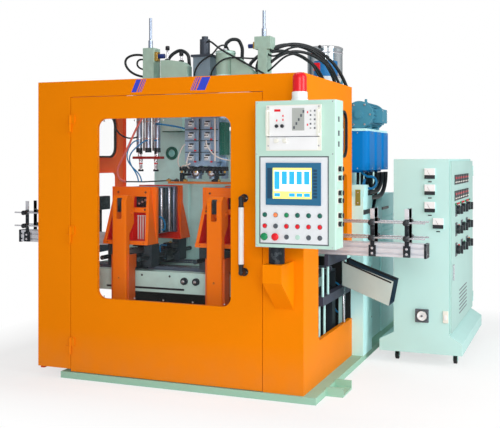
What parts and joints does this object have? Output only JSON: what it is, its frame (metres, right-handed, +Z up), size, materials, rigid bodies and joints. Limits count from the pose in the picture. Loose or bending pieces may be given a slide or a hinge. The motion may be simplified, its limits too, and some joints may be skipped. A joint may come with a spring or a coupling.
{
  "type": "blow moulding machine",
  "caption": "Shuttle blow moulding machine with a glazed orange guard, sliding clamp stations under a die head, screw extruder, take-out conveyors and control pendant.",
  "frame": {"origin": "floor level under the centre of the front guard's outer face", "axes": "+X to the operator's right, +Y into the machine, +Z up"},
  "size_m": [3.452, 3.772, 2.68],
  "materials": {
    "base_frame": "pale teal enamel",
    "station_bed": "pale green enamel",
    "front_fascia": "orange enamel",
    "side_window_seals": "black rubber",
    "side_window_panes": "clear sheet",
    "die_head": "heat-tinted steel",
    "parison_actuator": "blue enamel",
    "extruder_barrel": "plain steel",
    "extruder_gearmotor": "grey-blue enamel",
    "hopper": "polished sheet",
    "valve_boxes": "blue enamel",
    "blow_towers": "turned steel",
    "conveyors": "anodised profile",
    "discharge_chute": "folded stainless sheet",
    "hydraulic_hoses": "black hose",
    "cabinet_body": "pale green enamel",
    "deck_vessels": "pale green enamel",
    "door_handle": "bright tube",
    "pendant_box": "cream enamel",
    "pendant_post": "turned steel",
    "pendant_screen": "blue bezel",
    "parison_programmer": "grey front plate",
    "beacon": "red lens on a white base",
    "start_button": "green",
    "mode_selector": "black",
    "hot_knife": "heat-tinted blade",
    "caster_wheel_1": "hard rubber tread",
    "carriage_left": "dark machined casting",
    "front_platen_left": "orange enamel on castings",
    "front_mould_left": "machined"
  },
  "bodies": {
    "machine": {"base_frame": "base_frame", "station_bed": "station_bed", "machine_frame": "station_bed", "front_fascia": "front_fascia", "side_panel_left": "front_fascia", "side_panel_right": "front_fascia", "side_window_seals": "side_window_seals", "side_window_panes": "side_window_panes", "pendant_bracket": "front_fascia", "die_head": "die_head", "parison_actuator": "parison_actuator", "extruder_barrel": "extruder_barrel", "heater_bands": "extruder_barrel", "extruder_gearmotor": "extruder_gearmotor", "hopper": "hopper", "rear_housings": "station_bed", "pump_motor": "parison_actuator", "valve_boxes": "valve_boxes", "blow_towers": "blow_towers", "conveyors": "conveyors", "conveyor_guides": "conveyors", "discharge_chute": "discharge_chute", "hydraulic_hoses": "hydraulic_hoses", "cabinet_body": "cabinet_body", "deck_vessels": "deck_vessels"},
    "front_door": {"door_panel": "front_fascia", "door_window": "side_window_panes", "door_handle": "door_handle"},
    "pendant": {"pendant_box": "pendant_box", "pendant_post": "pendant_post", "pendant_screen": "pendant_screen", "parison_programmer": "parison_programmer", "beacon": "beacon"},
    "start_button": {"start_button": "start_button"},
    "stop_button": {"stop_button": "beacon"},
    "mode_selector": {"mode_selector": "mode_selector"},
    "heater_selector": {"heater_selector": "mode_selector"},
    "pump_selector": {"pump_selector": "mode_selector"},
    "hot_knife": {"hot_knife": "hot_knife"},
    "extruder_screw": {"extruder_screw": "extruder_barrel"},
    "hopper_lid": {"hopper_lid": "hopper"},
    "blow_unit_left": {"blow_pins_left": "blow_towers"},
    "blow_unit_right": {"blow_pins_right": "blow_towers"},
    "cabinet_door": {"cabinet_door": "cabinet_body"},
    "caster_wheel_1": {"caster_wheel_1": "caster_wheel_1"},
    "caster_wheel_2": {"caster_wheel_2": "caster_wheel_1"},
    "caster_wheel_3": {"caster_wheel_3": "caster_wheel_1"},
    "caster_wheel_4": {"caster_wheel_4": "caster_wheel_1"},
    "station_left": {"carriage_left": "carriage_left"},
    "front_clamp_left": {"front_platen_left": "front_platen_left", "front_mould_left": "front_mould_left"},
    "rear_clamp_left": {"rear_platen_left": "front_platen_left", "rear_mould_left": "front_mould_left"},
    "clamp_lever_left": {"clamp_lever_left": "front_platen_left"},
    "station_right": {"carriage_right": "carriage_left"},
    "front_clamp_right": {"front_platen_right": "front_platen_left", "front_mould_right": "front_mould_left"},
    "rear_clamp_right": {"rear_platen_right": "front_platen_left", "rear_mould_right": "front_mould_left"},
    "clamp_lever_right": {"clamp_lever_right": "front_platen_left"}
  },
  "joints": [
    {"name": "door_hinge", "type": "hinge", "parent": "machine", "child": "front_door", "pos_m": [-0.727, -0.01, 1.016], "axis": [0, 0, -1], "range_deg": [0, 105]},
    {"name": "pendant_swivel", "type": "hinge", "parent": "machine", "child": "pendant", "pos_m": [0.873, -0.15, 0.9], "axis": [0, 0, 1], "range_deg": [-90, 0]},
    {"name": "start_button_press", "type": "slide", "parent": "pendant", "child": "start_button", "axis": [0, 1, 0], "range_m": [0, 0.006], "stiffness_N_per_m": 600},
    {"name": "stop_button_press", "type": "slide", "parent": "pendant", "child": "stop_button", "axis": [0, 1, 0], "range_m": [0, 0.006], "stiffness_N_per_m": 600},
    {"name": "mode_selector_turn", "type": "hinge", "parent": "pendant", "child": "mode_selector", "pos_m": [0.9022, -0.25, 1.141], "axis": [0, 1, 0], "range_deg": [-45, 45]},
    {"name": "heater_selector_turn", "type": "hinge", "parent": "pendant", "child": "heater_selector", "pos_m": [0.9724, -0.25, 1.076], "axis": [0, 1, 0], "range_deg": [-45, 45]},
    {"name": "pump_selector_turn", "type": "hinge", "parent": "pendant", "child": "pump_selector", "pos_m": [1.1128, -0.25, 1.076], "axis": [0, 1, 0], "range_deg": [-45, 45]},
    {"name": "station_slide_left", "type": "slide", "parent": "machine", "child": "station_left", "axis": [1, 0, 0], "range_m": [-0.262, 0.48]},
    {"name": "station_slide_right", "type": "slide", "parent": "machine", "child": "station_right", "axis": [1, 0, 0], "range_m": [-0.262, 0.48]},
    {"name": "clamp_open_left", "type": "slide", "parent": "station_left", "child": "front_clamp_left", "axis": [0, -1, 0], "range_m": [0, 0.1]},
    {"name": "clamp_open_rear_left", "type": "slide", "parent": "station_left", "child": "rear_clamp_left", "axis": [0, 1, 0], "range_m": [0, 0.1]},
    {"name": "lever_swing_left", "type": "hinge", "parent": "station_left", "child": "clamp_lever_left", "pos_m": [-0.445, 0.25, 0.47], "axis": [1, 0, 0], "range_deg": [0, 8.4]},
    {"name": "blow_stroke_left", "type": "slide", "parent": "machine", "child": "blow_unit_left", "axis": [0, 0, -1], "range_m": [0, 0.1]},
    {"name": "clamp_open_right", "type": "slide", "parent": "station_right", "child": "front_clamp_right", "axis": [0, -1, 0], "range_m": [0, 0.1]},
    {"name": "clamp_open_rear_right", "type": "slide", "parent": "station_right", "child": "rear_clamp_right", "axis": [0, 1, 0], "range_m": [0, 0.1]},
    {"name": "lever_swing_right", "type": "hinge", "parent": "station_right", "child": "clamp_lever_right", "pos_m": [0.297, 0.25, 0.47], "axis": [1, 0, 0], "range_deg": [0, 8.4]},
    {"name": "blow_stroke_right", "type": "slide", "parent": "machine", "child": "blow_unit_right", "axis": [0, 0, -1], "range_m": [0, 0.1]},
    {"name": "knife_slide", "type": "slide", "parent": "machine", "child": "hot_knife", "axis": [0, 1, 0], "range_m": [0, 0.11]},
    {"name": "screw_turn", "type": "hinge", "parent": "machine", "child": "extruder_screw", "pos_m": [0.25, 2.2, 1.95], "axis": [0, 1, 0], "continuous": true},
    {"name": "lid_hinge", "type": "hinge", "parent": "machine", "child": "hopper_lid", "pos_m": [0.25, 3.245, 2.632], "axis": [-1, 0, 0], "range_deg": [0, 100]},
    {"name": "cabinet_hinge", "type": "hinge", "parent": "machine", "child": "cabinet_door", "pos_m": [1.744, 2.578, 0.9], "axis": [0, 0, 1], "range_deg": [0, 110]},
    {"name": "caster_roll_1", "type": "hinge", "parent": "machine", "child": "caster_wheel_1", "pos_m": [1.31, 1.425, 0.031], "axis": [1, 0, 0], "continuous": true},
    {"name": "caster_roll_2", "type": "hinge", "parent": "machine", "child": "caster_wheel_2", "pos_m": [1.31, 2.44, 0.031], "axis": [1, 0, 0], "continuous": true},
    {"name": "caster_roll_3", "type": "hinge", "parent": "machine", "child": "caster_wheel_3", "pos_m": [1.752, 1.425, 0.031], "axis": [1, 0, 0], "continuous": true},
    {"name": "caster_roll_4", "type": "hinge", "parent": "machine", "child": "caster_wheel_4", "pos_m": [1.752, 2.44, 0.031], "axis": [1, 0, 0], "continuous": true}
  ],
  "couplings": [
    {"joint": "station_slide_right", "follows": "station_slide_left", "ratio": 1},
    {"joint": "clamp_open_rear_left", "follows": "clamp_open_left", "ratio": 1},
    {"joint": "clamp_open_rear_right", "follows": "clamp_open_right", "ratio": 1},
    {"joint": "lever_swing_left", "follows": "clamp_open_left", "rad_per_m": 1.4388},
    {"joint": "lever_swing_right", "follows": "clamp_open_right", "rad_per_m": 1.4388}
  ]
}
